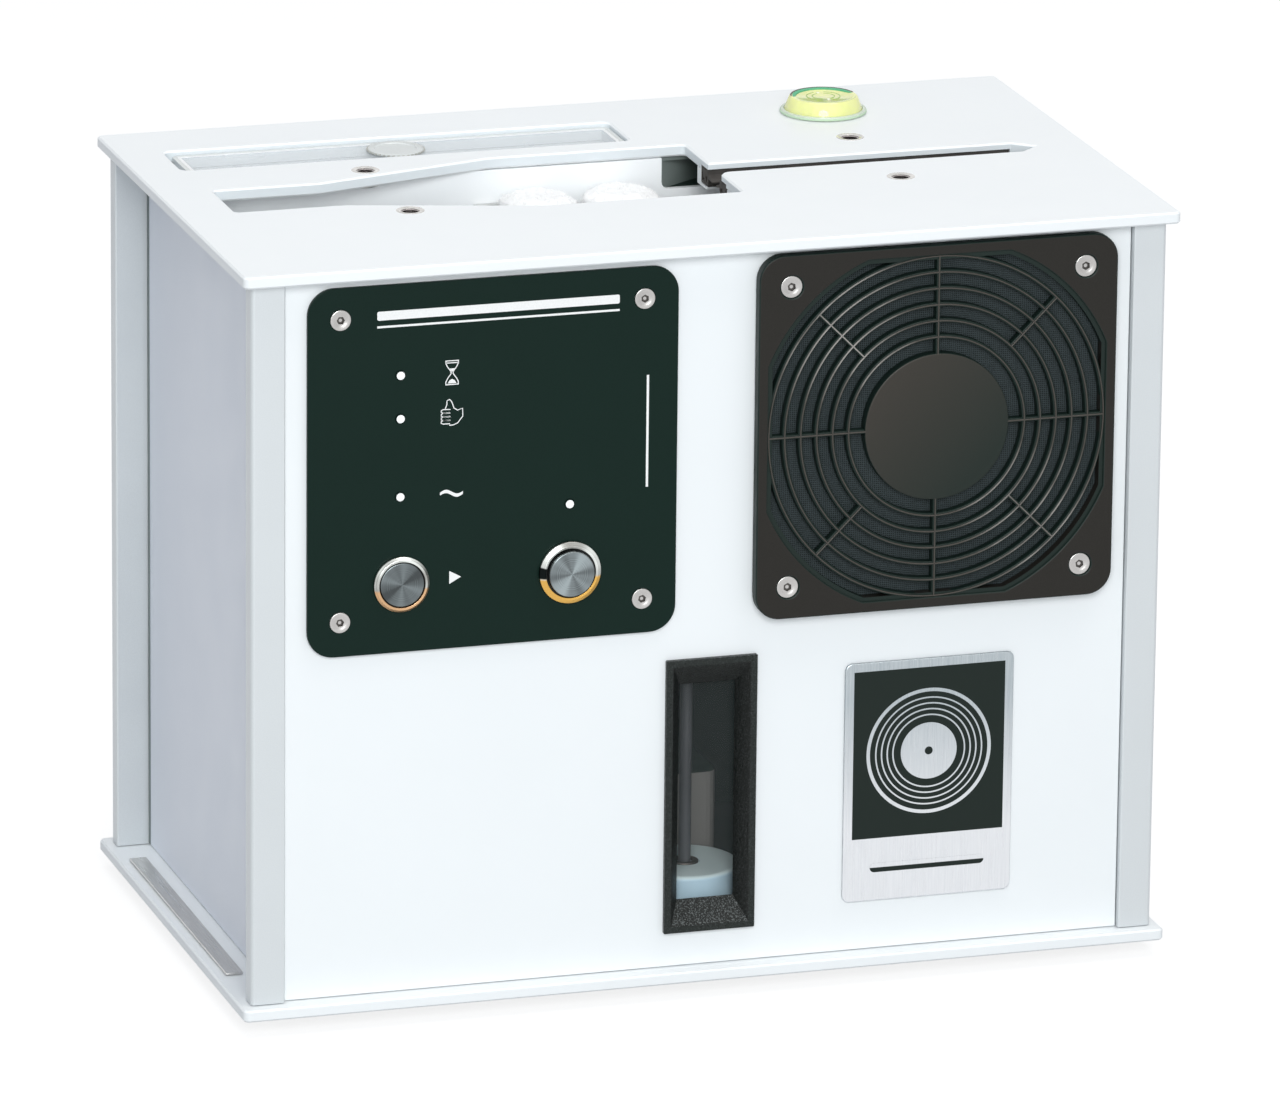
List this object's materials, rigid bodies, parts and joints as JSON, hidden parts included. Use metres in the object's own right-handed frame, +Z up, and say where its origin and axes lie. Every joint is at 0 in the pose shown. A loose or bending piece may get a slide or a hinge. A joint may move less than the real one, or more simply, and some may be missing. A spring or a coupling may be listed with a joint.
{
  "type": "record cleaning machine",
  "caption": "Upright box with a record slot in its lid over a washing bath with soft rollers, drying fans, push buttons, a water window and a filter compartment.",
  "frame": {"origin": "centre of the footprint at the underside of the feet", "axes": "+X to the right seen from the front, -Y to the front with the buttons and the window, +Z up"},
  "size_m": [0.32, 0.19, 0.2648],
  "materials": {
    "white_sheet": "satin white sheet plastic",
    "anodised": "satin anodised",
    "steel": "brushed stainless",
    "dark_plate": "smooth dark front foil",
    "black_plastic": "fine textured black",
    "black_rubber": "smooth black rubber",
    "filter_mesh": "fine woven mesh",
    "white_plastic": "smooth white",
    "grey_plastic": "moulded grey",
    "clear_plastic": "clear polished",
    "level_fluid": "clear yellow-green",
    "microfibre": "soft short pile",
    "foam": "open filter foam",
    "board_green": "circuit board lacquer",
    "nylon": "natural nylon"
  },
  "bodies": {
    "housing": {"base_plate": "white_sheet", "top_plate": "white_sheet", "corner_post_front_left": "anodised", "corner_post_front_right": "anodised", "corner_post_rear_left": "anodised", "corner_post_rear_right": "anodised", "front_panel": "white_sheet", "rear_panel": "white_sheet", "side_panel_left": "white_sheet", "side_panel_right": "white_sheet", "foot_front_left": "black_rubber", "foot_front_right": "black_rubber", "foot_rear_left": "black_rubber", "foot_rear_right": "black_rubber", "control_plate": "dark_plate", "start_button_body": "steel", "mode_button_body": "steel", "control_board": "board_green", "front_fan_guard": "black_plastic", "front_filter_pad": "filter_mesh", "front_fan_frame": "black_plastic", "rear_fan_guard": "black_plastic", "rear_filter_pad": "filter_mesh", "rear_fan_frame": "black_plastic", "window_bezel": "black_plastic", "window_pane": "clear_plastic", "reservoir_tank": "grey_plastic", "float_stem": "grey_plastic", "pump": "grey_plastic", "chassis_deck": "steel", "wash_basin": "white_plastic", "level_probe": "steel", "air_duct_front": "black_plastic", "air_duct_rear": "black_plastic", "wiper_front": "black_rubber", "wiper_rear": "black_rubber", "drive_motor": "steel", "ultrasonic_transducer": "anodised", "filter_housing": "white_plastic", "filter_cartridge": "foam", "bubble_level": "level_fluid", "name_plate": "steel", "base_strip": "steel", "power_inlet": "black_plastic"},
    "start_button": {"start_button_cap": "steel"},
    "mode_button": {"mode_button_cap": "steel"},
    "front_rotor": {"front_fan_rotor": "black_plastic"},
    "rear_rotor": {"rear_fan_rotor": "black_plastic"},
    "roller_front_left": {"roller_spindle_front_left": "steel", "roller_sleeve_front_left": "microfibre"},
    "roller_front_right": {"roller_spindle_front_right": "steel", "roller_sleeve_front_right": "microfibre"},
    "roller_rear_left": {"roller_spindle_rear_left": "steel", "roller_sleeve_rear_left": "microfibre"},
    "roller_rear_right": {"roller_spindle_rear_right": "steel", "roller_sleeve_rear_right": "microfibre"},
    "drive": {"drive_gear": "nylon"},
    "float": {"level_float": "white_plastic"},
    "cover": {"filter_cover": "clear_plastic"},
    "drain": {"drain_plug": "black_plastic"}
  },
  "joints": [
    {"name": "start_button_press", "type": "slide", "parent": "housing", "child": "start_button", "axis": [0, 1, 0], "range_m": [0, 0.002], "stiffness_N_per_m": 400},
    {"name": "mode_button_press", "type": "slide", "parent": "housing", "child": "mode_button", "axis": [0, 1, 0], "range_m": [0, 0.002], "stiffness_N_per_m": 400},
    {"name": "front_fan_spin", "type": "hinge", "parent": "housing", "child": "front_rotor", "pos_m": [0.0765, -0.0618, 0.1913], "axis": [0, 1, 0], "continuous": true},
    {"name": "rear_fan_spin", "type": "hinge", "parent": "housing", "child": "rear_rotor", "pos_m": [0.0765, 0.0618, 0.1913], "axis": [0, 1, 0], "continuous": true},
    {"name": "roller_rear_left_spin", "type": "hinge", "parent": "housing", "child": "roller_rear_left", "pos_m": [-0.0285, 0.0155, 0.195], "axis": [0, 0, 1], "continuous": true},
    {"name": "roller_front_left_spin", "type": "hinge", "parent": "housing", "child": "roller_front_left", "pos_m": [-0.0285, -0.0155, 0.195], "axis": [0, 0, 1], "continuous": true},
    {"name": "roller_rear_right_spin", "type": "hinge", "parent": "housing", "child": "roller_rear_right", "pos_m": [0.0005, 0.0155, 0.195], "axis": [0, 0, 1], "continuous": true},
    {"name": "roller_front_right_spin", "type": "hinge", "parent": "housing", "child": "roller_front_right", "pos_m": [0.0005, -0.0155, 0.195], "axis": [0, 0, 1], "continuous": true},
    {"name": "drive_gear_spin", "type": "hinge", "parent": "housing", "child": "drive", "pos_m": [-0.014, 0.04976, 0.128], "axis": [0, 0, 1], "continuous": true},
    {"name": "float_rise", "type": "slide", "parent": "housing", "child": "float", "axis": [0, 0, 1], "range_m": [-0.006, 0.074]},
    {"name": "filter_cover_lift", "type": "slide", "parent": "housing", "child": "cover", "axis": [0, 0, 1], "range_m": [0, 0.08]},
    {"name": "drain_plug_pull", "type": "slide", "parent": "housing", "child": "drain", "axis": [0, 1, 0], "range_m": [0, 0.035]}
  ],
  "couplings": [
    {"joint": "roller_front_left_spin", "follows": "roller_rear_left_spin", "ratio": -1},
    {"joint": "roller_rear_right_spin", "follows": "roller_rear_left_spin", "ratio": 1},
    {"joint": "roller_front_right_spin", "follows": "roller_rear_left_spin", "ratio": -1},
    {"joint": "drive_gear_spin", "follows": "roller_rear_left_spin", "ratio": -0.71429}
  ]
}
